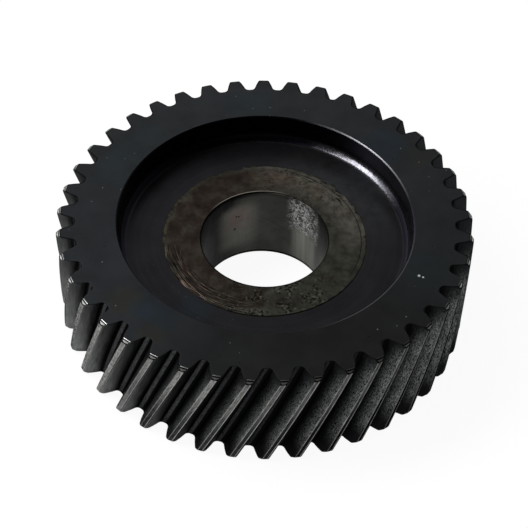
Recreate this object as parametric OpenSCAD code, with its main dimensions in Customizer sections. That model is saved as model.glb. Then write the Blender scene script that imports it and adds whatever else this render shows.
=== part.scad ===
// Helical gear wheel in one piece, for a pressed-on shaft seat.
// It stands on its flat end face at z = 0. The other end face has a wide turned recess.

/* [Teeth] */
// Number of teeth round the rim
teeth = 41; // [38:1:60]
// Module of the teeth, measured square to a tooth
normal_module = 3; // [2.8:0.1:4]
// Angle of the teeth to the axis at the pitch circle, degrees, right-hand
helix_angle = 21; // [5:1:30]
// Pressure angle, measured square to a tooth, degrees
pressure_angle = 22.5; // [20:0.5:25]
// Height of a tooth above the pitch circle
addendum = 2.12; // [1.2:0.02:2.6]
// Depth of a tooth gap below the pitch circle
dedendum = 3.7; // [2.6:0.05:4]
// Thickness of a tooth along the pitch circle, in the plane of the wheel
tooth_thickness = 4.3; // [3.8:0.05:4.8]
// Radius in the bottom corners of a tooth gap
root_fillet = 1.5; // [0.3:0.1:1.7]
// Width of the broken edge along both sides of a tooth land
land_edge_break = 0.4; // [0.05:0.05:0.5]

/* [Rim] */
// Width of the wheel across its end faces
face_width = 40; // [30:1:80]
// Turned chamfer on the tooth ends, at 45 degrees
tooth_end_chamfer = 1.1; // [0.4:0.1:1.6]

/* [Recess] */
// Diameter of the turned recess in the upper end face
recess_d = 96.6; // [84:0.2:104]
// Depth of the recess, from the rim face down to the web
recess_depth = 9.8; // [4:0.1:16]
// Radius between the recess wall and the web
recess_fillet = 3; // [0.5:0.1:4]
// Broken edge at the mouth of the recess
recess_chamfer = 0.4; // [0.1:0.1:1]

/* [Hub] */
// Diameter of the flat hub land round the bore
hub_land_d = 67; // [54:0.5:76]
// Height of the hub land above the web
hub_land_h = 0.3; // [0.1:0.1:2]
// Diameter of the bore
bore_d = 42; // [30:0.5:48]
// Chamfer at the upper end of the bore
bore_upper_chamfer = 0.4; // [0.1:0.1:1.5]
// Chamfer at the lower end of the bore, where the shaft enters
bore_lower_chamfer = 1; // [0.3:0.1:2]

/* [Hidden] */

$fn = 96;
steel_black = "#2a2d30";
cut_over = 2;

// Straight stretches into which the height of a tooth and its curves are divided
helix_steps = 4;
fillet_steps = 3;
flank_steps = 3;

pitch_r = teeth * normal_module / cos(helix_angle) / 2;
tip_r = pitch_r + addendum;
root_r = pitch_r - dedendum;
transverse_angle = atan(tan(pressure_angle) / cos(helix_angle));
base_r = pitch_r * cos(transverse_angle);
tooth_pitch_angle = 360 / teeth;
degrees_per_mm = tan(helix_angle) / pitch_r * 180 / PI;

web_z = face_width - recess_depth;
hub_face_z = web_z + hub_land_h;

// Involute function of an angle in degrees, the result in degrees too
function involute(a) = tan(a) * 180 / PI - a;

// Angle between the flank and the radius, at radius r
function flank_angle(r) = acos(min(1, base_r / r));

// Angle that half a tooth takes up at radius r
function half_tooth_angle(r) =
    tooth_thickness / (2 * pitch_r) * 180 / PI + involute(transverse_angle) - involute(flank_angle(r));

// Radius at which the root fillet runs into a flank that leans by angle a
function fillet_end_r(a) = sqrt(pow(root_r + root_fillet, 2) - pow(root_fillet * cos(a), 2)) - root_fillet * sin(a);

flank_start_r = fillet_end_r(flank_angle(root_r + root_fillet / 2));
flank_start_angle = half_tooth_angle(flank_start_r);
fillet_lean = flank_angle(flank_start_r);
fillet_centre_r = root_r + root_fillet;
fillet_centre_angle = flank_start_angle
    + atan2(root_fillet * cos(fillet_lean), flank_start_r + root_fillet * sin(fillet_lean));
fillet_sweep = flank_start_angle - fillet_centre_angle + 90 - fillet_lean;

// One point of the root fillet as [angle from the tooth's middle, radius], t from 0 at the root to 1 at the flank
function fillet_point(t) =
    let (a = fillet_centre_angle - 180 + t * fillet_sweep)
    let (x = fillet_centre_r * cos(fillet_centre_angle) + root_fillet * cos(a))
    let (y = fillet_centre_r * sin(fillet_centre_angle) + root_fillet * sin(a))
    [atan2(y, x), norm([x, y])];

// Half of one tooth from its root to its land, for a blank of radius top_r
function half_tooth(top_r) =
    let (flank_end_r = top_r - land_edge_break)
    [
        for (i = [0 : fillet_steps]) fillet_point(i / fillet_steps),
        for (i = [1 : flank_steps])
            let (r = flank_start_r + (flank_end_r - flank_start_r) * i / flank_steps)
            [half_tooth_angle(r), r],
        [half_tooth_angle(top_r) - land_edge_break / top_r * 180 / PI, top_r]
    ];

// One whole tooth, counter-clockwise from root to root
function whole_tooth(top_r) =
    let (half = half_tooth(top_r))
    let (count = len(half))
    [
        for (p = half) [-p[0], p[1]],
        for (i = [count - 1 : -1 : 0]) half[i]
    ];

// The wheel's outline at height z, turned along the helix
function outline(z, top_r) =
    let (tooth = whole_tooth(top_r))
    [
        for (k = [0 : teeth - 1])
            for (p = tooth)
                let (a = p[0] + k * tooth_pitch_angle + z * degrees_per_mm)
                [p[1] * cos(a), p[1] * sin(a), z]
    ];

// Heights of the outlines: the two end faces, the two chamfer edges and the steps between them
tooth_run = face_width - 2 * tooth_end_chamfer;
levels = [
    0,
    for (i = [0 : helix_steps]) tooth_end_chamfer + tooth_run * i / helix_steps,
    face_width
];

// Toothed blank, with a turned 45 degree chamfer on both ends of the teeth
module toothed_blank() {
    last = len(levels) - 1;
    rows = [
        for (i = [0 : last])
            outline(levels[i], (i == 0 || i == last) ? tip_r - tooth_end_chamfer : tip_r)
    ];
    n = len(rows[0]);
    rim_points = [for (row = rows) for (p = row) p];
    low_middle = len(rim_points);
    high_middle = low_middle + 1;
    side_faces = [
        for (i = [0 : last - 1])
            for (j = [0 : n - 1])
                let (k = (j + 1) % n)
                each [
                    [i * n + j, (i + 1) * n + j, i * n + k],
                    [(i + 1) * n + j, (i + 1) * n + k, i * n + k]
                ]
    ];
    low_faces = [for (j = [0 : n - 1]) [low_middle, j, (j + 1) % n]];
    high_faces = [for (j = [0 : n - 1]) [high_middle, last * n + (j + 1) % n, last * n + j]];
    polyhedron(
        points = concat(rim_points, [[0, 0, 0], [0, 0, face_width]]),
        faces = concat(side_faces, low_faces, high_faces),
        convexity = 10
    );
}

// Section of the recess: a straight wall, a true fillet and the chamfer at its mouth
module recess_section() {
    recess_r = recess_d / 2;
    square_top = face_width + cut_over;
    translate([0, hub_face_z])
        square([recess_r - recess_fillet, square_top - hub_face_z]);
    translate([hub_land_d / 2, web_z])
        square([recess_r - recess_fillet - hub_land_d / 2, square_top - web_z]);
    translate([0, web_z + recess_fillet])
        square([recess_r, square_top - web_z - recess_fillet]);
    translate([recess_r - recess_fillet, web_z + recess_fillet])
        circle(r = recess_fillet);
    polygon([
        [0, face_width - recess_chamfer],
        [recess_r, face_width - recess_chamfer],
        [recess_r + recess_chamfer + cut_over, square_top],
        [0, square_top]
    ]);
}

// Recess in the upper end face, which leaves the web and the hub land
module recess_cut() {
    rotate_extrude()
        recess_section();
}

// Bore with a chamfer at each end
module bore_cut() {
    bore_r = bore_d / 2;
    rotate_extrude()
        polygon([
            [0, -cut_over],
            [bore_r + bore_lower_chamfer + cut_over, -cut_over],
            [bore_r, bore_lower_chamfer],
            [bore_r, hub_face_z - bore_upper_chamfer],
            [bore_r + bore_upper_chamfer + cut_over, hub_face_z + cut_over],
            [0, hub_face_z + cut_over]
        ]);
}

// The whole wheel: one forged and turned piece of steel with cut teeth
module gear_wheel() {
    color(steel_black)
        difference() {
            toothed_blank();
            recess_cut();
            bore_cut();
        }
}

gear_wheel();
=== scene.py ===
import math

import bmesh
import bpy
import numpy as np
from mathutils import Matrix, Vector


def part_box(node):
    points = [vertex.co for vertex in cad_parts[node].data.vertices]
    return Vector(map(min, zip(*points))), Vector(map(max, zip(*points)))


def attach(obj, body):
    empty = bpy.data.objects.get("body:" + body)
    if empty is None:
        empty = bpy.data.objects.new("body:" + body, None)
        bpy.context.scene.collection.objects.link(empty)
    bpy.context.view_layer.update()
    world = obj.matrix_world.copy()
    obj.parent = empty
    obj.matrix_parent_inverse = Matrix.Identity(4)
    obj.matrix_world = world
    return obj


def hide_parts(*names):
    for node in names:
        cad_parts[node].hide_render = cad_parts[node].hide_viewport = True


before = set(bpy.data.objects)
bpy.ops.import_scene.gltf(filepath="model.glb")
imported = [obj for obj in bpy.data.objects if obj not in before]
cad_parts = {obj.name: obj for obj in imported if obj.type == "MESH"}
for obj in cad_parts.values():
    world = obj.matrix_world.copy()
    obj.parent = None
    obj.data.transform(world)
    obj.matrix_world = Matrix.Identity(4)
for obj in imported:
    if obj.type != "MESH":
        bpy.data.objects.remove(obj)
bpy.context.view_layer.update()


# Toothed rim of the wheel.
# One forging of case-hardened steel, turned to a blank, hobbed with 41 right-hand helical teeth
# and chamfered at both tooth ends in the lathe. All its sizes below are in millimetres.
MM = 0.001
teeth = 41
normal_module = 3.0
helix_angle = math.radians(21)
pressure_angle = math.radians(22.5)
pitch_r = teeth * normal_module / math.cos(helix_angle) / 2
tip_r = pitch_r + 2.12
root_r = pitch_r - 3.7
tooth_thickness = 4.3
root_fillet = 1.5
land_break = 0.4
face_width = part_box("gear_wheel")[1][2] / MM
end_chamfer = 1.1
chamfer_blend = 0.12
end_break = 0.12
edge_line = 0.3
tooth_pitch = math.tau / teeth
turn_per_mm = math.tan(helix_angle) / pitch_r
helix_rows = 15
corner_points = 6
flank_points = 5

transverse_angle = math.atan(math.tan(pressure_angle) / math.cos(helix_angle))
base_r = pitch_r * math.cos(transverse_angle)


def flank_lean(radius):
    """Angle between the involute flank and the radius."""
    return math.acos(min(1.0, base_r / radius))


def half_tooth_angle(radius):
    """Angle from the middle of a tooth to its flank."""
    involute_at_pitch = math.tan(transverse_angle) - transverse_angle
    lean = flank_lean(radius)
    return tooth_thickness / (2 * pitch_r) + involute_at_pitch - (math.tan(lean) - lean)


def root_corner():
    """The fillet at the foot of a flank as (angle, radius) points, from the root circle to the flank."""
    lean = flank_lean(root_r + root_fillet / 2)
    centre_r = root_r + root_fillet
    reach = centre_r ** 2 - (root_fillet * math.cos(lean)) ** 2
    flank_start = math.sqrt(reach) - root_fillet * math.sin(lean)
    lean = flank_lean(flank_start)
    flank_angle = half_tooth_angle(flank_start)
    centre_angle = flank_angle + math.atan2(
        root_fillet * math.cos(lean), flank_start + root_fillet * math.sin(lean)
    )
    sweep = flank_angle - centre_angle + math.pi / 2 - lean
    corner = []
    for share in np.linspace(0, 1, corner_points):
        turn = centre_angle - math.pi + share * sweep
        x = centre_r * math.cos(centre_angle) + root_fillet * math.cos(turn)
        y = centre_r * math.sin(centre_angle) + root_fillet * math.sin(turn)
        corner.append((math.atan2(y, x), math.hypot(x, y)))
    return corner


def tooth_outline(top_r):
    """One tooth as (angle, radius) points from root middle to root middle, topped at a radius."""
    half = [(tooth_pitch / 2, root_r), *root_corner()]
    flank_start = half[-1][1]
    for radius in np.linspace(flank_start, top_r - land_break, flank_points)[1:]:
        half.append((half_tooth_angle(radius), radius))
    for turn in np.radians([22.5, 45, 67.5, 90]):
        radius = top_r - land_break * (1 - math.sin(turn))
        back = land_break * (1 - math.cos(turn)) / radius
        half.append((half_tooth_angle(radius) - back, radius))
    near_side = [(-angle, radius) for angle, radius in half]
    far_side = [(angle, radius) for angle, radius in reversed(half[1:])]
    return np.array([*near_side, (0.0, top_r), *far_side])


points_per_tooth = len(tooth_outline(tip_r))
points_round = teeth * points_per_tooth


def wheel_outline(height, inset=0.0):
    """All points round the wheel at a height, drawn in square to the outline by the inset."""
    depth = min(height, face_width - height)
    cut = end_chamfer - depth
    if cut > chamfer_blend:
        trim = cut
    elif cut < -chamfer_blend:
        trim = 0.0
    else:
        trim = (cut + chamfer_blend) ** 2 / (4 * chamfer_blend)
    tooth = tooth_outline(tip_r - trim)
    angle = (np.arange(teeth)[:, None] * tooth_pitch + tooth[None, :, 0]).ravel() + height * turn_per_mm
    radius = np.tile(tooth[:, 1], teeth)
    flat = np.stack([radius * np.cos(angle), radius * np.sin(angle)], axis=1)
    along = np.roll(flat, -1, axis=0) - np.roll(flat, 1, axis=0)
    along /= np.linalg.norm(along, axis=1)[:, None]
    flat -= inset * np.stack([along[:, 1], -along[:, 0]], axis=1)
    return np.column_stack([flat, np.full(points_round, height)])


# A ring of points is laid on the lower end face and drawn up the wheel row by row.
bpy.ops.object.select_all(action="DESELECT")
bpy.ops.mesh.primitive_circle_add(vertices=points_round, radius=root_r * MM, location=(0, 0, 0))
wheel = bpy.context.object
wheel.name = "helical_gear_wheel"
bpy.ops.object.mode_set(mode="EDIT")
shape = bmesh.from_edit_mesh(wheel.data)
place = shape.verts.layers.int.new("place")
shape.verts.ensure_lookup_table()
for number, vert in enumerate(shape.verts):
    vert[place] = number


def lay_row(points):
    """Puts the selected row of points in its place, given in millimetres."""
    rows = bmesh.from_edit_mesh(wheel.data)
    layer = rows.verts.layers.int["place"]
    for vert in rows.verts:
        if vert.select:
            vert.co = points[vert[layer]] * MM
    bmesh.update_edit_mesh(wheel.data)


def extrude_row(points):
    """Extrudes the selected row and lays the new one."""
    bpy.ops.mesh.extrude_region_move(TRANSFORM_OT_translate={"value": (0, 0, MM)})
    lay_row(points)


bpy.ops.mesh.select_all(action="SELECT")
lay_row(wheel_outline(0, end_break))
quarter = end_break * (1 - math.cos(math.pi / 4))
end_rows = [
    (quarter, quarter),
    (end_break, 0.0),
    (end_chamfer * 0.5, 0.0),
    (end_chamfer - chamfer_blend, 0.0),
    (end_chamfer - chamfer_blend / 3, 0.0),
    (end_chamfer + chamfer_blend / 3, 0.0),
]
for depth, inset in end_rows:
    extrude_row(wheel_outline(depth, inset))
for height in np.linspace(end_chamfer + chamfer_blend, face_width - end_chamfer - chamfer_blend, helix_rows):
    extrude_row(wheel_outline(height))
for depth, inset in reversed(end_rows):
    extrude_row(wheel_outline(face_width - depth, inset))
extrude_row(wheel_outline(face_width, end_break))
extrude_row(wheel_outline(face_width, end_break + edge_line))


# Turned inside of the wheel: rim face, recess, hub land and bore.
# The lathe leaves a straight recess wall with a round corner to the web, a hub land that stands
# 0.3 mm proud of the web, and a bore that is honed to size for a press fit on its shaft.
recess_r = 48.3
recess_fillet = 3.0
recess_chamfer = 0.4
web_height = 30.2
hub_land_r = 33.5
hub_land_height = web_height + 0.3
bore_r = 21.0
upper_chamfer = 0.4
lower_chamfer = 1.0
corner_round = 0.08
bore_rows = 5
bore_row_margin = 2


def rounded_corner(before, corner, after, radius, steps):
    """An arc that rounds one corner of a turned section, as (radius, height) points."""
    before, corner, after = (np.array(point, dtype=float) for point in (before, corner, after))
    arrive = (before - corner) / np.linalg.norm(before - corner)
    leave = (after - corner) / np.linalg.norm(after - corner)
    half_angle = math.acos(max(-1.0, min(1.0, float(arrive @ leave)))) / 2
    bisector = (arrive + leave) / np.linalg.norm(arrive + leave)
    centre = corner + bisector * radius / math.sin(half_angle)
    first = corner + arrive * radius / math.tan(half_angle) - centre
    last = corner + leave * radius / math.tan(half_angle) - centre
    span = math.pi - 2 * half_angle
    arc = []
    for share in np.linspace(0, 1, steps + 1):
        reach = (first * math.sin((1 - share) * span) + last * math.sin(share * span)) / math.sin(span)
        arc.append(tuple(centre + reach))
    return arc


# Each corner has its radius, its height, its rounding and the number of steps in that.
section = [
    (root_r, face_width, 0, 0),
    (recess_r + recess_chamfer, face_width, corner_round, 2),
    (recess_r, face_width - recess_chamfer, corner_round, 2),
    (recess_r, web_height, recess_fillet, 12),
    (hub_land_r, web_height, corner_round, 2),
    (hub_land_r, hub_land_height, corner_round, 3),
    (bore_r + upper_chamfer, hub_land_height, corner_round, 2),
    (bore_r, hub_land_height - upper_chamfer, corner_round, 2),
    (bore_r, lower_chamfer, corner_round, 2),
    (bore_r + lower_chamfer, 0, corner_round, 2),
    (root_r, 0, 0, 0),
]
turned_rows = []
for before, corner, after in zip(section, section[1:], section[2:]):
    turned_rows += rounded_corner(before[:2], corner[:2], after[:2], corner[2], corner[3])
    if corner[:2] == (bore_r, hub_land_height - upper_chamfer):
        top_row = hub_land_height - bore_row_margin
        turned_rows += [(bore_r, height) for height in np.linspace(top_row, bore_row_margin, bore_rows)]

round_angle = np.arange(points_round) * math.tau / points_round - tooth_pitch / 2
for radius, height in turned_rows:
    angle = round_angle + (face_width if height > 0 else 0) * turn_per_mm
    ring = np.column_stack([radius * np.cos(angle), radius * np.sin(angle), np.full(points_round, height)])
    extrude_row(ring)
extrude_row(wheel_outline(0, end_break))
bpy.ops.mesh.select_all(action="SELECT")
bpy.ops.mesh.remove_doubles(threshold=0.001 * MM)
bpy.ops.mesh.normals_make_consistent(inside=False)
bpy.ops.object.mode_set(mode="OBJECT")
wheel.data.attributes.remove(wheel.data.attributes["place"])
bpy.ops.object.shade_smooth_by_angle(angle=math.radians(40))
flatten = wheel.modifiers.new("even_faces", "WEIGHTED_NORMAL")
flatten.keep_sharp = True
bpy.ops.object.modifier_apply(modifier=flatten.name)

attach(wheel, "root")
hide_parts("gear_wheel")


# Black oxide on the turned faces.
# Hot black oxide is a thin magnetite skin on the steel, as dark as graphite with a soft sheen.
# It keeps faint turning rings, blue and olive stains from the salt bath, and a few pale nicks.
stain_edge = 4
# Nearly all of a noise pattern lies between these two values.
noise_low = 0.3
noise_high = 0.7


def linear(colour):
    """Turns an sRGB hex colour into the linear colour that a shader socket takes."""
    parts = [int(colour[i:i + 2], 16) / 255 for i in (1, 3, 5)]
    return [*(c / 12.92 if c <= 0.04045 else ((c + 0.055) / 1.055) ** 2.4 for c in parts), 1.0]


def per_mm(size):
    """Pattern scale, per metre, of a feature of a size in millimetres."""
    return 1 / (size * MM)


def add_node(tree, kind, inputs=None, **settings):
    """Adds a shader node, sets it up, links or fills its inputs and returns its outputs."""
    node = tree.nodes.new("ShaderNode" + kind)
    for name, value in settings.items():
        setattr(node, name, value)
    for key, value in (inputs or {}).items():
        socket = node.inputs[key]
        if isinstance(value, bpy.types.NodeSocket):
            tree.links.new(value, socket)
        elif isinstance(value, str):
            socket.default_value = linear(value)[:len(socket.default_value)]
        else:
            socket.default_value = value
    return node.outputs


def add_finish(name):
    """Adds a finish to the wheel and returns its node tree."""
    finish = bpy.data.materials.new(name)
    finish.use_nodes = True
    wheel.data.materials.append(finish)
    return finish.node_tree


def measure_point(tree):
    """Returns the shaded point, and its radius, height and bearing about the wheel's axis."""
    point = add_node(tree, "TexCoord")["Object"]
    flat = add_node(tree, "VectorMath", {0: point, 1: (1, 1, 0)}, operation="MULTIPLY")[0]
    at = {
        "radius": add_node(tree, "VectorMath", {0: flat}, operation="LENGTH")["Value"],
        "height": add_node(tree, "SeparateXYZ", {0: point})[2],
        "bearing": add_node(tree, "VectorMath", {0: flat}, operation="NORMALIZE")[0],
    }
    return point, at


def overlap(tree, *masks):
    """Product of masks, which is 1 only where they all are."""
    whole = masks[0]
    for mask in masks[1:]:
        whole = add_node(tree, "Math", {0: whole, 1: mask}, operation="MULTIPLY")[0]
    return whole


def area(tree, at, arc=None, **borders):
    """1 in an area of the wheel and 0 outside it, with soft borders.

    The arc is an azimuth and the reach to both sides of it, in degrees. Each border is a measure
    with the places, in millimetres, where the area begins and where it is full. Two more places
    say up to where it stays full and where it ends.
    """
    steps = []
    if arc:
        azimuth, reach = np.radians(arc)
        way = (math.cos(azimuth), math.sin(azimuth), 0)
        near = add_node(tree, "VectorMath", {0: at["bearing"], 1: way}, operation="DOT_PRODUCT")["Value"]
        steps.append((near, math.cos(reach), 1.0))
    for measure, places in borders.items():
        steps.append((at[measure], places[0] * MM, places[1] * MM))
        if len(places) == 4:
            steps.append((at[measure], places[3] * MM, places[2] * MM))
    masks = []
    for value, start, full in steps:
        limits = {0: value, 1: start, 2: full}
        masks.append(add_node(tree, "MapRange", limits, interpolation_type="SMOOTHSTEP")[0])
    return overlap(tree, *masks)


def spot_mask(tree, point, azimuth, radius, height, size):
    """1 in a round spot of a size at a place on the wheel and 0 beyond its soft border."""
    border = 1.6
    way = math.radians(azimuth)
    middle = (radius * math.cos(way) * MM, radius * math.sin(way) * MM, height * MM)
    far = add_node(tree, "VectorMath", {0: point, 1: middle}, operation="DISTANCE")["Value"]
    limits = {0: far, 1: size * border * MM, 2: size * MM}
    return add_node(tree, "MapRange", limits, interpolation_type="SMOOTHSTEP")[0]


def lay_on(tree, paint, tint, *masks):
    """Lays a tint on a paint where all the masks are 1."""
    share = overlap(tree, *masks)
    return add_node(tree, "Mix", {0: share, 6: paint, 7: tint}, data_type="RGBA")[2]


def shaded(tree, colour, pattern, low, high):
    """A colour made darker and lighter by a noise pattern, from the low to the high factor."""
    limits = {0: pattern, 1: noise_low, 2: noise_high, 3: low, 4: high}
    shade = add_node(tree, "MapRange", limits)[0]
    return add_node(tree, "VectorMath", {0: colour, "Scale": shade}, operation="SCALE")[0]


def arc_noise(tree, at, length, width):
    """Noise drawn out round the axis, with grains of a length, true at the hub, and a width in mm."""
    middle_r = 35
    turn = {0: at["bearing"], "Scale": middle_r / length}
    around = add_node(tree, "VectorMath", turn, operation="SCALE")[0]
    across = add_node(tree, "Math", {0: at["radius"], 1: per_mm(width)}, operation="MULTIPLY")[0]
    lift = add_node(tree, "CombineXYZ", {2: across})[0]
    drawn = add_node(tree, "VectorMath", {0: around, 1: lift}, operation="ADD")[0]
    return add_node(tree, "TexNoise", {"Vector": drawn, "Scale": 1.0, "Detail": 3.0})["Fac"]


def paint_oxide(tree, at, cloud, colour, stains):
    """Oxide skin of a colour, with cloudy stains of a (tint, azimuth, reach, inner, outer)."""
    paint = shaded(tree, colour, cloud, 0.84, 1.14)
    for tint, azimuth, reach, inner, outer in stains:
        ring = (inner - stain_edge, inner, outer, outer + stain_edge)
        spot = overlap(tree, area(tree, at, arc=(azimuth, reach), radius=ring), cloud)
        share = add_node(tree, "MapRange", {0: spot, 1: 0.1, 2: 0.6, 4: 0.45})[0]
        paint = lay_on(tree, paint, tint, share)
    return paint


def paint_nicks(tree, point, paint, spacing, rare, tint):
    """Dots on a paint: of the cells of a spacing in millimetres a few carry a tinted or a black dot."""
    dot_core = 0.02
    smallest = 0.03
    size_range = 0.08
    grid = {"Vector": point, "Scale": per_mm(spacing)}
    cells = add_node(tree, "TexVoronoi", grid, voronoi_dimensions="2D")
    chance = add_node(tree, "SeparateXYZ", {0: cells["Color"]})
    size = {0: chance[1], 1: size_range, 2: smallest}
    size = add_node(tree, "Math", size, operation="MULTIPLY_ADD")[0]
    limits = {0: cells["Distance"], 1: dot_core, 2: size, 3: 1.0, 4: 0.0}
    dot = add_node(tree, "MapRange", limits)[0]
    pale = add_node(tree, "Math", {0: chance[0], 1: rare}, operation="GREATER_THAN")[0]
    dark = add_node(tree, "Math", {0: chance[0], 1: 1 - rare}, operation="LESS_THAN")[0]
    paint = lay_on(tree, paint, tint, dot, pale)
    return lay_on(tree, paint, "#101011", dot, dark)


def cover(tree, paint, metallic, gloss, relief):
    """Puts a paint on the surface, with its metallic share, its gloss and its relief.

    The gloss is a pattern with the roughness where it is low and where it is high. The relief is a
    pattern with the strength and the depth, in millimetres, of its bumps.
    """
    shader = tree.nodes["Principled BSDF"]
    tree.links.new(paint, shader.inputs["Base Color"])
    shader.inputs["Metallic"].default_value = metallic
    pattern, smooth, rough = gloss
    limits = {0: pattern, 1: noise_low, 2: noise_high, 3: smooth, 4: rough}
    tree.links.new(add_node(tree, "MapRange", limits)[0], shader.inputs["Roughness"])
    pattern, strength, depth = relief
    bumps = {"Height": pattern, "Strength": strength, "Distance": depth * MM}
    tree.links.new(add_node(tree, "Bump", bumps)[0], shader.inputs["Normal"])


tree = add_finish("turned_black_oxide")
point, at = measure_point(tree)
blue = "#2d3d4a"
teal = "#333f40"
olive = "#3e3d31"
rim_stains = [
    (blue, 42, 11, 50, 58),
    (teal, 98, 12, 51, 58),
    (teal, 150, 22, 49, 58),
    (blue, 232, 12, 51, 56),
    (teal, 338, 12, 50, 60),
    (olive, 33, 8, 57, 64),
    (olive, 221, 7, 53, 60),
    (olive, 237, 6, 58, 62),
]
cloud = add_node(tree, "TexNoise", {"Vector": point, "Scale": per_mm(9), "Detail": 4.0})["Fac"]
paint = paint_oxide(tree, at, cloud, "#36393c", rim_stains)
# The front is painted darker and less blue than the rest, as painted shade.
painted_front_shade = area(tree, at, arc=(288, 62))
paint = lay_on(tree, paint, shaded(tree, "#2e2e2e", cloud, 0.84, 1.14), painted_front_shade, 0.85)
# A pale line is painted along the mouth of the recess on the right-hand side, as a painted highlight of its
# edge.
painted_highlight_mask = area(tree, at, arc=(325, 38), radius=(48.65, 48.75, 48.95, 49.05), height=(30, 31))
paint = lay_on(tree, paint, "#66676a", painted_highlight_mask)
# Nicks and dust lie on the rim.
paint = paint_nicks(tree, point, paint, 3, 0.95, "#a2a4a6")
# One fresh double dent near the recess, down to bright metal.
for dent_r, dent_size in ((54.2, 0.34), (55.6, 0.26)):
    paint = lay_on(tree, paint, "#f4f4f2", spot_mask(tree, point, 335.6, dent_r, face_width, dent_size))
# The turning feed is 0.15 mm. It is drawn as 0.5 mm rings so that it can show.
rings = arc_noise(tree, at, 60, 0.5)
grain = add_node(tree, "TexNoise", {"Vector": point, "Scale": per_mm(0.5), "Detail": 3.0})["Fac"]
relief = add_node(tree, "Math", {0: rings, 1: grain}, operation="ADD")[0]
cover(tree, paint, 1.0, (grain, 0.36, 0.48), (relief, 0.25, 0.02))


# Border of both end faces.
# A matt black line of painted shade follows the teeth along the sharp edge where they were cut
# through the end faces. It is wider at the back than in front.
tree = add_finish("painted_shade_end_edge")
shader = tree.nodes["Principled BSDF"]
shader.inputs["Base Color"].default_value = linear("#0a0a0b")
shader.inputs["Roughness"].default_value = 0.8
shader.inputs["Specular IOR Level"].default_value = 0.1


# Recess wall, its round corner and the broken edge at its mouth.
# The same oxide on a finely turned surface that nothing has rubbed, so it is glossy and a little
# violet. The round corner and the mouth are painted lighter at the back right as a painted highlight,
# mottled on the corner.
tree = add_finish("glossy_recess_oxide")
point, at = measure_point(tree)
mottle = add_node(tree, "TexNoise", {"Vector": point, "Scale": per_mm(0.9), "Detail": 4.0})["Fac"]
corner_highlight = area(tree, at, arc=(47, 28), height=(web_height + 2.6, web_height + 1.2))
wall = shaded(tree, "#26262e", mottle, 0.9, 1.1)
paint = lay_on(tree, wall, shaded(tree, "#6c6c72", mottle, 0.5, 1.5), corner_highlight)
mouth_highlight = area(tree, at, arc=(47, 36), height=(face_width - 0.6, face_width - 0.4))
paint = lay_on(tree, paint, "#7c7c80", mouth_highlight)
shader = tree.nodes["Principled BSDF"]
tree.links.new(paint, shader.inputs["Base Color"])
shader.inputs["Metallic"].default_value = 1.0
gloss = add_node(tree, "MapRange", {0: mottle, 1: noise_low, 2: noise_high, 3: 0.2, 4: 0.28})[0]
gloss = add_node(tree, "Math", {0: mouth_highlight, 1: 0.12, 2: gloss}, operation="MULTIPLY_ADD")[0]
tree.links.new(gloss, shader.inputs["Roughness"])


# Web of the recess.
# Satin oxide with faint turning rings. It is browned round the hub by the film that covers the
# hub land, and blue where the bath stained it.
def film_mask(tree, point, at):
    """1 where the oil film of the hub land lies and 0 beyond its border, which wanders by 1 mm."""
    wander = 6 * MM
    wave = add_node(tree, "TexNoise", {"Vector": point, "Scale": per_mm(3), "Detail": 5.0})["Fac"]
    off = add_node(tree, "Math", {0: wave, 1: -0.5}, operation="ADD")[0]
    shifted = {0: off, 1: -wander, 2: at["radius"]}
    ragged = {"radius": add_node(tree, "Math", shifted, operation="MULTIPLY_ADD")[0]}
    return area(tree, ragged, radius=(hub_land_r + 0.35, hub_land_r))


tree = add_finish("satin_web_oxide")
point, at = measure_point(tree)
web_stains = [
    ("#2d3840", 236, 12, 36, 46),
    ("#2c3944", 48, 10, 37, 42),
]
cloud = add_node(tree, "TexNoise", {"Vector": point, "Scale": per_mm(9), "Detail": 4.0})["Fac"]
paint = paint_oxide(tree, at, cloud, "#2d2d31", web_stains)
paint = shaded(tree, paint, arc_noise(tree, at, 45, 1.6), 0.86, 1.12)
# Dust has settled on the side where the light rakes over the web, and it is painted lighter there also as a
# painted highlight.
clumps = add_node(tree, "TexNoise", {"Vector": point, "Scale": per_mm(4), "Detail": 5.0})["Fac"]
dust_and_haze = shaded(tree, "#3a3b3d", clumps, 0.75, 1.3)
paint = lay_on(tree, paint, dust_and_haze, area(tree, at, arc=(45, 52)))
# The front is peppered with nicks and specks.
nicked = paint_nicks(tree, point, paint, 2.2, 0.86, "#54585c")
paint = lay_on(tree, paint, nicked, area(tree, at, arc=(235, 60)))
# The brown film of the hub land has crept over its edge here and there.
paint = lay_on(tree, paint, "#35302a", film_mask(tree, point, at))
rings = arc_noise(tree, at, 60, 0.5)
grain = add_node(tree, "TexNoise", {"Vector": point, "Scale": per_mm(0.7), "Detail": 3.0})["Fac"]
relief = add_node(tree, "Math", {0: rings, 1: grain}, operation="ADD")[0]
cover(tree, paint, 0.85, (grain, 0.28, 0.38), (relief, 0.2, 0.02))


# Hub land: the face that a washer or spacer bears on.
# The oxide is rubbed thin here under a brown film of old oil. The neighbour part has left
# concentric scratches near the outer edge, reddish where the steel has begun to rust, and pits.
def patches(tree, point, size, detail, low, high):
    """1 in patches of a size in millimetres: where an even noise has passed from low to high."""
    pattern = add_node(tree, "TexNoise", {"Vector": point, "Scale": per_mm(size), "Detail": detail})["Fac"]
    return add_node(tree, "MapRange", {0: pattern, 1: low, 2: high})[0]


tree = add_finish("rubbed_hub_land")
point, at = measure_point(tree)
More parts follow.
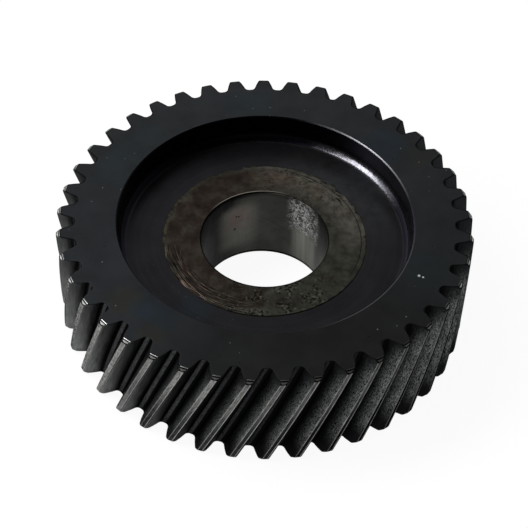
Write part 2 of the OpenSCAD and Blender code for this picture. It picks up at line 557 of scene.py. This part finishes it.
# The film is brown at the left, and olive at the right and near the outer edge.
blotch = add_node(tree, "TexNoise", {"Vector": point, "Scale": per_mm(5), "Detail": 5.0})["Fac"]
warm = add_node(tree, "MapRange", {0: blotch, 1: 0.35, 2: 0.65, 3: -0.35, 4: 0.35})[0]
olive_share = add_node(tree, "Math", {0: area(tree, at, arc=(350, 150)), 1: warm}, operation="ADD")[0]
near_edge = {0: area(tree, at, radius=(30, 33)), 1: 0.6, 2: olive_share}
olive_share = add_node(tree, "Math", near_edge, operation="MULTIPLY_ADD", use_clamp=True)[0]
paint = lay_on(tree, "#342c26", "#3a3a33", olive_share)
paint = shaded(tree, paint, blotch, 0.6, 1.4)
grain = add_node(tree, "TexNoise", {"Vector": point, "Scale": per_mm(1.5), "Detail": 5.0})["Fac"]
paint = shaded(tree, paint, grain, 0.75, 1.25)
# At the back right the film is rubbed thin and pale.
grain = add_node(tree, "TexNoise", {"Vector": point, "Scale": per_mm(2.5), "Detail": 5.0})["Fac"]
pale_film = shaded(tree, lay_on(tree, "#5e5248", "#5c5a52", olive_share), grain, 0.6, 1.4)
paint = lay_on(tree, paint, pale_film, area(tree, at, arc=(48, 66), radius=(20, 30)))
# A light crust lies on the outer edge, most of it at the left.
crust = patches(tree, point, 1.6, 5.0, 0.42, 0.58)
paint = lay_on(tree, paint, "#4c463a", crust, area(tree, at, arc=(172, 62), radius=(32, 33)))
# The front left is scored black and tan, and rusty along the outer edge.
# The scratches are 0.2 mm apart. They are drawn about 0.5 mm apart so that they can show.
dashes = arc_noise(tree, at, 6, 0.16)
scored = add_node(tree, "MapRange", {0: dashes, 1: 0.49, 2: 0.44})[0]
tan = add_node(tree, "MapRange", {0: dashes, 1: 0.55, 2: 0.62})[0]
patchy = add_node(tree, "MapRange", {0: arc_noise(tree, at, 7, 1.2), 1: 0.42, 2: 0.58})[0]
front = {0: area(tree, at, arc=(225, 46), radius=(26, 31)), 1: 1.8}
front = add_node(tree, "Math", front, operation="MULTIPLY", use_clamp=True)[0]
paint = lay_on(tree, paint, "#0a0806", scored, front)
paint = lay_on(tree, paint, "#7c6d60", tan, front, patchy)
paint = lay_on(tree, paint, "#b89c8c", tan, front, area(tree, at, arc=(230, 22), radius=(31.4, 32.6)))
# The back has dark grooves, and one deep scored line runs a third of the way round at the right.
arcs = arc_noise(tree, at, 5, 0.33)
groove = add_node(tree, "MapRange", {0: arcs, 1: 0.46, 2: 0.4})[0]
paint = lay_on(tree, paint, "#171510", groove, patchy, area(tree, at, arc=(45, 42), radius=(27.5, 29)))
line = area(tree, at, radius=(31.7, 31.85, 31.95, 32.1))
reach = add_node(tree, "MapRange", {0: area(tree, at, arc=(25, 58)), 2: 0.3})[0]
paint = lay_on(tree, paint, "#12110f", line, reach)
# Corrosion has eaten black pits into the front and the back, in clusters, with pale spots beside.
mottle = add_node(tree, "TexNoise", {"Vector": point, "Scale": per_mm(0.9), "Detail": 2.0})["Fac"]
at_back = {0: area(tree, at, arc=(60, 45)), 1: 0.5, 2: 0.06}
where = add_node(tree, "Math", at_back, operation="MULTIPLY_ADD")[0]
at_front = area(tree, at, arc=(283, 50))
where = add_node(tree, "Math", {0: where, 1: at_front}, operation="ADD", use_clamp=True)[0]
cluster = overlap(tree, patches(tree, point, 4, 3.0, 0.44, 0.54), where)
eaten = add_node(tree, "MapRange", {0: mottle, 1: 0.45, 2: 0.4})[0]
paint = lay_on(tree, paint, "#060504", eaten, cluster)
spots = add_node(tree, "MapRange", {0: mottle, 1: 0.58, 2: 0.68})[0]
paint = lay_on(tree, paint, "#626258", spots, cluster)
# The edge of the bore is dark, with a black line in front, and at the back painted highlights where the edge
# catches the light: a pale line at the left and a broken one at the right.
lip = area(tree, at, radius=(bore_r + 0.45, bore_r + 0.35))
paint = lay_on(tree, paint, "#0e0e0d", lip)
lip = area(tree, at, arc=(265, 80), radius=(bore_r + 0.85, bore_r + 0.7))
paint = lay_on(tree, paint, "#060605", lip)
lip = area(tree, at, arc=(108, 45), radius=(bore_r + 0.4, bore_r + 0.55, bore_r + 0.7, bore_r + 0.85))
paint = lay_on(tree, paint, "#8f8b80", lip)
lip = area(tree, at, arc=(66, 34), radius=(bore_r + 0.25, bore_r + 0.1))
painted_highlight_mask = add_node(tree, "MapRange", {0: blotch, 1: 0.4, 2: 0.5})[0]
paint = lay_on(tree, paint, "#6a675f", lip, painted_highlight_mask)
# Outside the ragged border of the film the land is as dark as the web.
paint = lay_on(tree, "#28282b", paint, film_mask(tree, point, at))
relief = add_node(tree, "Math", {0: arcs, 1: 0.6, 2: mottle}, operation="MULTIPLY_ADD")[0]
cover(tree, paint, 0.6, (blotch, 0.42, 0.6), (relief, 0.4, 0.04))
tree.nodes["Principled BSDF"].inputs["Specular IOR Level"].default_value = 0.1


# Bore.
# Honed steel: the stone's strokes cross each other and leave the metal grey where the oxide is
# thin. Two bands along it are painted brighter as painted highlights, parts of it are painted darker as
# painted shade, and it is scratched from fitting, with the scratches painted white as painted highlights.
def curls(tree, point, size, width):
    """Thin curly lines: the places where a swirling noise passes its mean. Both sizes in millimetres."""
    steepness = 0.25
    swirl = {"Vector": point, "Scale": per_mm(size), "Detail": 2.0, "Distortion": 1.5}
    level = add_node(tree, "TexNoise", swirl)["Fac"]
    off = add_node(tree, "Math", {0: level, 1: -0.5}, operation="ADD")[0]
    off = add_node(tree, "Math", {0: off}, operation="ABSOLUTE")[0]
    limits = {0: off, 1: 0.0, 2: steepness * width / size, 3: 1.0, 4: 0.0}
    return add_node(tree, "MapRange", limits)[0]


tree = add_finish("honed_bore")
point, at = measure_point(tree)
# The strokes climb at 30 degrees. They are 0.1 mm apart and drawn at 0.35 mm so that they can show.
strokes = 0.0
for lay in (-1, 1):
    lean = math.tan(math.radians(60)) / (bore_r * MM) * lay
    turn = add_node(tree, "Math", {0: at["height"], 1: lean}, operation="MULTIPLY")[0]
    unrolled = add_node(tree, "VectorRotate", {"Vector": point, "Angle": turn}, rotation_type="Z_AXIS")[0]
    drawn = add_node(tree, "VectorMath", {0: unrolled, 1: (1, 1, 0.03)}, operation="MULTIPLY")[0]
    lines = add_node(tree, "TexNoise", {"Vector": drawn, "Scale": per_mm(0.35), "Detail": 2.0})["Fac"]
    strokes = add_node(tree, "Math", {0: lines, 1: strokes}, operation="ADD")[0]
blotch = add_node(tree, "TexNoise", {"Vector": point, "Scale": per_mm(7), "Detail": 5.0})["Fac"]
honed = add_node(tree, "MapRange", {0: strokes, 1: 0.7, 2: 1.3, 3: 0.8, 4: 1.2})[0]
cloudy = add_node(tree, "MapRange", {0: blotch, 1: noise_low, 2: noise_high, 3: 0.75, 4: 1.25})[0]
shade = overlap(tree, honed, cloudy)
# Upright bands of painted highlight and painted shade make it brighter or darker: their azimuth, reach,
# heights and gain.
upright = add_node(tree, "VectorMath", {0: point, 1: (1, 1, 0.05)}, operation="MULTIPLY")[0]
runs = add_node(tree, "TexNoise", {"Vector": upright, "Scale": per_mm(1.2), "Detail": 4.0})["Fac"]
runs = add_node(tree, "MapRange", {0: runs, 1: noise_low, 2: noise_high, 3: 0.75, 4: 1.25})[0]
whole_bore = (-1, 0)
bands = [
    (118, 24, (3, 9, 22, 28), 1.3),
    (49, 18, (-12, 22), 4.0),
    (155, 44, whole_bore, -0.8),
    (180, 40, whole_bore, -1.0),
    (150, 50, (23, 29), -0.7),
    (10, 24, whole_bore, -0.5),
]
for azimuth, reach, heights, gain in bands:
    band = overlap(tree, area(tree, at, arc=(azimuth, reach), height=heights), runs)
    shade = add_node(tree, "Math", {0: band, 1: gain, 2: shade}, operation="MULTIPLY_ADD")[0]
paint = add_node(tree, "VectorMath", {0: "#4c4c48", "Scale": shade}, operation="SCALE")[0]
# White curly scratches cover the upper part of the right-hand band: scratches painted white as painted
# highlights.
scuffed = area(tree, at, arc=(50, 22), height=(13, 21))
scratches = {0: curls(tree, point, 2.6, 0.5), 1: curls(tree, point, 4.0, 0.6)}
scratches = add_node(tree, "Math", scratches, operation="ADD")[0]
scratches = add_node(tree, "Math", {0: scratches, 1: scuffed}, operation="MULTIPLY", use_clamp=True)[0]
paint = lay_on(tree, paint, "#2f3031", scuffed, 0.7)
paint = lay_on(tree, paint, "#ffffff", scratches)
# A little rust, painted lighter also as a painted highlight, lies in the middle of the left band, and three
# small black pits have started in it.
rust_and_highlight = area(tree, at, arc=(117, 18), height=(11, 16, 22, 27))
paint = lay_on(tree, paint, "#6b605b", rust_and_highlight, patches(tree, point, 4, 5.0, 0.35, 0.6))
for azimuth, height, size in ((118.4, 20.5, 0.27), (116, 20.2, 0.25), (120, 14.6, 0.34)):
    paint = lay_on(tree, paint, "#0c0b0a", spot_mask(tree, point, azimuth, bore_r, height, size))
# Painted shade darkens the upper end of the bore at the left, and a black line runs round its foot.
paint = lay_on(tree, paint, "#0a0a0b", area(tree, at, arc=(152, 66), height=(28.4, 29.3)))
foot = area(tree, at, height=(lower_chamfer + 1.1, lower_chamfer + 0.8))
paint = lay_on(tree, paint, "#090909", foot)
cover(tree, paint, 1.0, (blotch, 0.3, 0.44), (strokes, 0.25, 0.02))


# Tooth flanks and roots.
# Hobbed, left as cut and blackened. The cutter's marks and the dirt run along the tooth. The
# flanks that face clockwise carried the load: near the tip they are run in to grainy grey steel, painted
# lighter also as a painted highlight.
def tooth_grain(tree, point, width, length):
    """Noise whose grains lie along the teeth, with a width and a length in millimetres."""
    height = add_node(tree, "SeparateXYZ", {0: point})[2]
    turn = add_node(tree, "Math", {0: height, 1: -turn_per_mm / MM}, operation="MULTIPLY")[0]
    upright = add_node(tree, "VectorRotate", {"Vector": point, "Angle": turn}, rotation_type="Z_AXIS")[0]
    drawn = add_node(tree, "VectorMath", {0: upright, 1: (1, 1, width / length)}, operation="MULTIPLY")[0]
    return add_node(tree, "TexNoise", {"Vector": drawn, "Scale": per_mm(width), "Detail": 4.0})["Fac"]


def tooth_side(tree, point):
    """Distance from the middle of the tooth along the tip circle, in metres."""
    parts = add_node(tree, "SeparateXYZ", {0: point})
    azimuth = add_node(tree, "Math", {0: parts[1], 1: parts[0]}, operation="ARCTAN2")[0]
    back = {0: parts[2], 1: -turn_per_mm / MM, 2: azimuth}
    straight = add_node(tree, "Math", back, operation="MULTIPLY_ADD")[0]
    wrapped = {0: straight, 1: tooth_pitch / 2, 2: -tooth_pitch / 2}
    local = add_node(tree, "Math", wrapped, operation="WRAP")[0]
    return add_node(tree, "Math", {0: local, 1: tip_r * MM}, operation="MULTIPLY")[0]


tree = add_finish("hobbed_black_oxide")
point, at = measure_point(tree)
at["side"] = tooth_side(tree, point)
streaks = tooth_grain(tree, point, 0.4, 5)
speckle = tooth_grain(tree, point, 0.28, 0.7)
cloud = add_node(tree, "TexNoise", {"Vector": point, "Scale": per_mm(7), "Detail": 4.0})["Fac"]
# The flanks on the other side at the left are painted lighter as painted light: most low down, where they
# mirror the floor, and least near the root, in the shade of the next tooth.
from_root = (root_r + 0.5, root_r + 3.5)
painted_flank_light = area(tree, at, arc=(205, 50), height=(60, 5), side=(0.1, 0.3), radius=from_root)
paint = lay_on(tree, "#252628", "#8a8b8b", painted_flank_light)
# The teeth at the back right are a little paler all over.
paint = lay_on(tree, paint, "#393b3d", area(tree, at, arc=(40, 50)))
paint = shaded(tree, paint, streaks, 0.6, 1.4)
# The roots are a little paler at the left.
in_root = area(tree, at, radius=(root_r + 0.3, root_r + 0.1))
root_paint = lay_on(tree, "#38393a", "#4c4d4e", area(tree, at, arc=(230, 34)))
paint = lay_on(tree, paint, shaded(tree, root_paint, speckle, 0.0, 2.2), in_root)
# Painted shade fills both feet of the teeth, where the flanks shade each other, so that only a strip of the
# root shows its colour.
foot = area(tree, at, side=(-5.1, -4.8, -0.2, 0.2), radius=(root_r + 1.4, root_r + 0.5))
paint = lay_on(tree, paint, "#0c0c0d", foot)
foot_ring = (root_r + 0.15, root_r + 0.35, root_r + 0.9, root_r + 1.1)
paint = lay_on(tree, paint, "#0c0c0d", area(tree, at, side=(-0.2, 0.2), radius=foot_ring))
# The run-in side is worn, and painted lighter as a painted highlight, most near the tip and hardly at all
# beside the end faces.
to_tip = (root_r + 0.6, tip_r - 0.8)
run_in_and_highlight = area(tree, at, arc=(300, 75), side=(0.1, -0.1), radius=to_tip, height=(3, 12, 32, 41))
worn_and_highlight_paint = shaded(tree, "#6b6e6d", cloud, 0.7, 1.25)
worn_and_highlight_paint = shaded(tree, worn_and_highlight_paint, speckle, -0.5, 2.8)
paint = lay_on(tree, paint, worn_and_highlight_paint, run_in_and_highlight)
relief = add_node(tree, "Math", {0: speckle, 1: 0.6, 2: streaks}, operation="MULTIPLY_ADD")[0]
cover(tree, paint, 0.9, (streaks, 0.46, 0.62), (relief, 0.5, 0.05))
tree.nodes["Principled BSDF"].inputs["Specular Tint"].default_value = linear("#a0a0a0")


# Tooth lands.
# They stick out furthest, so handling and the turning tool have left them half bare, and their paint also
# carries a painted reflection and painted highlights. The land's grain runs along the tooth.
tree = add_finish("worn_tooth_land_and_painted_light")
point, at = measure_point(tree)
at["side"] = tooth_side(tree, point)
streaks = tooth_grain(tree, point, 0.3, 1.6)
# The lands in front are painted lighter, most of all at the left and in their upper half: a painted
# reflection of the lit floor, darker low down as painted shade. Those at the back are black.
painted_front_light = area(tree, at, arc=(270, 105))
low_paint = lay_on(tree, "#2c2d2d", "#4c4d4d", area(tree, at, arc=(228, 56)))
high_paint = lay_on(tree, "#626261", "#989896", area(tree, at, arc=(226, 54)))
paint = lay_on(tree, low_paint, high_paint, area(tree, at, height=(12, 34)))
paint = lay_on(tree, "#161717", paint, painted_front_light)
# The lands at the front left are painted brightest, as a painted reflection.
paint = lay_on(tree, paint, "#b8b8b6", area(tree, at, arc=(216, 22)))
paint = shaded(tree, paint, streaks, 0.35, 1.65)
# Both borders of the land are painted bright as painted highlights of the broken edges. Painted shade
# darkens the edge behind them.
near_border = area(tree, at, side=(-0.75, -0.9))
far_border = area(tree, at, side=(0.45, 0.53, 0.65, 0.73))
border = add_node(tree, "Math", {0: near_border, 1: far_border}, operation="ADD")[0]
bright = shaded(tree, "#b8b8b6", streaks, 0.6, 1.4)
paint = lay_on(tree, paint, bright, border, painted_front_light)
painted_edge_shade = {0: area(tree, at, arc=(275, 62), side=(0.74, 0.84)), 1: 3.0}
painted_edge_shade = add_node(tree, "Math", painted_edge_shade, operation="MULTIPLY", use_clamp=True)[0]
paint = lay_on(tree, paint, "#141415", painted_edge_shade)
cover(tree, paint, 1.0, (streaks, 0.3, 0.48), (streaks, 0.4, 0.03))
tree.nodes["Principled BSDF"].inputs["Specular Tint"].default_value = linear("#303030")


# Edge between the upper end face and the chamfers.
# The lathe tool left a crisp edge that handling has rubbed to bare steel.
tree = add_finish("bright_tooth_edge")
point = add_node(tree, "TexCoord")["Object"]
paint = shaded(tree, "#aeaeab", tooth_grain(tree, point, 0.4, 4), 0.45, 1.3)
shader = tree.nodes["Principled BSDF"]
tree.links.new(paint, shader.inputs["Base Color"])
shader.inputs["Metallic"].default_value = 1.0
shader.inputs["Roughness"].default_value = 0.35


# Turned chamfers on the tooth ends.
# A lens in the middle of each chamfer is painted bright as a painted highlight. Oxide is left above and
# below it.
tree = add_finish("turned_end_chamfer")
point, at = measure_point(tree)
lens_half_length = 1.25
lens_foot = face_width - 0.88
lens_rise = 0.5
lens_top = face_width - 0.48
share = {0: tooth_side(tree, point), 1: lens_half_length * MM}
from_middle = add_node(tree, "Math", share, operation="DIVIDE")[0]
square = add_node(tree, "Math", {0: from_middle, 1: from_middle}, operation="MULTIPLY")[0]
curve = {0: square, 1: lens_rise * MM, 2: lens_foot * MM}
foot = add_node(tree, "Math", curve, operation="MULTIPLY_ADD")[0]
at["above_foot"] = add_node(tree, "Math", {0: at["height"], 1: foot}, operation="SUBTRACT")[0]
lens = area(tree, at, above_foot=(-0.05, 0.05), height=(lens_top + 0.1, lens_top))
paint = lay_on(tree, "#232324", "#e4e4e2", lens)
shader = tree.nodes["Principled BSDF"]
tree.links.new(paint, shader.inputs["Base Color"])
shader.inputs["Metallic"].default_value = 1.0
shader.inputs["Roughness"].default_value = 0.3
shader.inputs["Specular Tint"].default_value = linear("#404040")


# Places of the finishes.
# All finishes lie on the one piece of steel, as they do on the real wheel. Every face takes the
# finish of its place and of the way it faces.
flat_normal = 0.98
outward_normal = 0.9
tiny = 0.01
clear_of_root = 2
largest_edge_face = 0.6 * MM * MM
# Strips of the end faces behind this share of the radius take the painted shade of the end edge.
edge_shade_front_limit = -0.25
land_slack = 0.0005


def finish_of(face):
    """Name of the finish of a face."""
    out = math.hypot(face.center.x, face.center.y)
    across = out / MM
    above = face.center.z / MM
    depth = min(above, face_width - above)
    flat = abs(face.normal.z) > flat_normal
    if across < bore_r + 2 * tiny and above > lower_chamfer - 0.2:
        return "honed_bore"
    if across < hub_land_r + tiny and above > web_height:
        return "rubbed_hub_land"
    in_recess = across < recess_r + 0.75 * recess_chamfer and above > web_height - tiny
    on_rim_face = flat and above > face_width - tiny
    if in_recess and not on_rim_face:
        return "satin_web_oxide" if flat else "glossy_recess_oxide"
    if across < root_r - clear_of_root:
        return "turned_black_oxide"
    if flat and depth < tiny:
        at_edge = across > root_r - edge_line - end_break and face.area < largest_edge_face
        at_back = face.center.y > edge_shade_front_limit * out
        return "painted_shade_end_edge" if at_edge and at_back else "turned_black_oxide"
    azimuth = math.atan2(face.center.y, face.center.x) - above * turn_per_mm
    from_middle = abs((azimuth + tooth_pitch / 2) % tooth_pitch - tooth_pitch / 2)
    top_r = tip_r - max(0.0, end_chamfer - depth)
    on_land = from_middle < half_tooth_angle(top_r) - land_break / top_r + land_slack
    outward = (face.normal.x * face.center.x + face.normal.y * face.center.y) / out
    if depth < end_break:
        return "bright_tooth_edge" if on_land and above > face_width / 2 else "painted_shade_end_edge"
    if on_land and depth < end_chamfer:
        return "turned_end_chamfer"
    if on_land and across > top_r - 2 * tiny:
        return "worn_tooth_land_and_painted_light"
    if outward > outward_normal and across > root_r + clear_of_root:
        return "worn_tooth_land_and_painted_light"
    return "hobbed_black_oxide"


finishes = [material.name for material in wheel.data.materials]
for face in wheel.data.polygons:
    face.material_index = finishes.index(finish_of(face))


# Floor of the studio.
# A matt white sheet that the wheel stands on. It keeps a soft shadow and shows white in the steel.
bpy.ops.object.select_all(action="DESELECT")
bpy.ops.mesh.primitive_plane_add(size=12, location=(0, 0, -0.01 * MM))
floor = bpy.context.object
floor.name = "studio_floor"
paper = bpy.data.materials.new("white_paper")
paper.use_nodes = True
tree = paper.node_tree
tree.nodes.clear()
path = add_node(tree, "LightPath")
matt = add_node(tree, "BsdfDiffuse", {"Color": "#e6e6e6"})[0]
faint = add_node(tree, "BsdfDiffuse", {"Color": "#606060"})[0]
glow = add_node(tree, "Emission", {"Strength": 0.93})[0]
seen = add_node(tree, "AddShader", {0: faint, 1: glow})[0]
half = add_node(tree, "BsdfDiffuse", {"Color": "#dcdcdc"})[0]
dim_glow = add_node(tree, "Emission", {"Strength": 0.25})[0]
mirrored = add_node(tree, "AddShader", {0: half, 1: dim_glow})[0]
pick = add_node(tree, "MixShader", {0: path["Is Glossy Ray"], 1: matt, 2: mirrored})[0]
pick = add_node(tree, "MixShader", {0: path["Is Camera Ray"], 1: pick, 2: seen})[0]
# Seen from below the sheet is clear, so that the lower end face can be looked at.
from_below = add_node(tree, "NewGeometry")["Backfacing"]
clear = add_node(tree, "BsdfTransparent")[0]
pick = add_node(tree, "MixShader", {0: from_below, 1: pick, 2: clear})[0]
add_node(tree, "OutputMaterial", {"Surface": pick})
floor.data.materials.append(paper)


# Studio light.
# Soft white surroundings that fade towards the right, the front and the top where the steel
# mirrors them, and one long lamp at the left, as from a window.
scene = bpy.context.scene
scene.view_settings.view_transform = "Standard"
world = bpy.data.worlds.new("studio")
scene.world = world
world.use_nodes = True
tree = world.node_tree
tree.nodes.clear()
path = add_node(tree, "LightPath")
way = add_node(tree, "TexCoord")["Generated"]
way = add_node(tree, "SeparateXYZ", {0: way})
upward = add_node(tree, "MapRange", {0: way[2], 1: 0.1, 2: 0.95, 3: 1.25, 4: 0.05})[0]
backward = add_node(tree, "MapRange", {0: way[1], 1: -0.3, 2: 0.6, 3: 0.08, 4: 1.0})[0]
leftward = add_node(tree, "MapRange", {0: way[0], 1: 0.1, 2: 0.6, 3: 1.0, 4: 0.2})[0]
room = overlap(tree, upward, backward, leftward)
soft = add_node(tree, "Background", {"Color": "#ffffff", "Strength": 0.3})[0]
mirrored = add_node(tree, "Background", {"Color": "#ffffff", "Strength": room})[0]
white = add_node(tree, "Background", {"Color": "#ffffff", "Strength": 1.0})[0]
pick = add_node(tree, "MixShader", {0: path["Is Glossy Ray"], 1: soft, 2: mirrored})[0]
pick = add_node(tree, "MixShader", {0: path["Is Camera Ray"], 1: pick, 2: white})[0]
add_node(tree, "OutputWorld", {"Surface": pick})

lamp_azimuth = math.radians(178)
lamp_elevation = math.radians(50)
lamp_roll = math.radians(37)
lamp_distance = 0.8
bpy.ops.object.light_add(type="AREA")
lamp = bpy.context.object
lamp.name = "window_lamp"
lamp.data.shape = "RECTANGLE"
lamp.data.size = 0.7
lamp.data.size_y = 0.24
lamp.data.energy = 4.3
lamp.matrix_world = (
    Matrix.Translation((0, 0, face_width * MM))
    @ Matrix.Rotation(lamp_azimuth, 4, "Z")
    @ Matrix.Rotation(math.pi / 2 - lamp_elevation, 4, "Y")
    @ Matrix.Rotation(lamp_roll, 4, "Z")
    @ Matrix.Translation((0, 0, lamp_distance))
)


# Camera.
# It stands in front of the wheel and looks down on the recessed face from about 46 degrees.
camera_turn = math.radians(0.28)
camera_elevation = math.radians(46.507)
camera_distance = 532.15 * MM
camera_pitch = math.radians(-1.6115)
camera_yaw = math.radians(0.0095)
camera_roll = math.radians(2.1246)
bpy.ops.object.camera_add()
camera = bpy.context.object
camera.data.lens = 111.37
camera.matrix_world = (
    Matrix.Rotation(camera_turn, 4, "Z")
    @ Matrix.Translation((0, 0, face_width * MM))
    @ Matrix.Rotation(math.pi / 2 - camera_elevation, 4, "X")
    @ Matrix.Translation((0, 0, camera_distance))
    @ Matrix.Rotation(camera_pitch, 4, "X")
    @ Matrix.Rotation(-camera_yaw, 4, "Y")
    @ Matrix.Rotation(camera_roll, 4, "Z")
)
scene.camera = camera
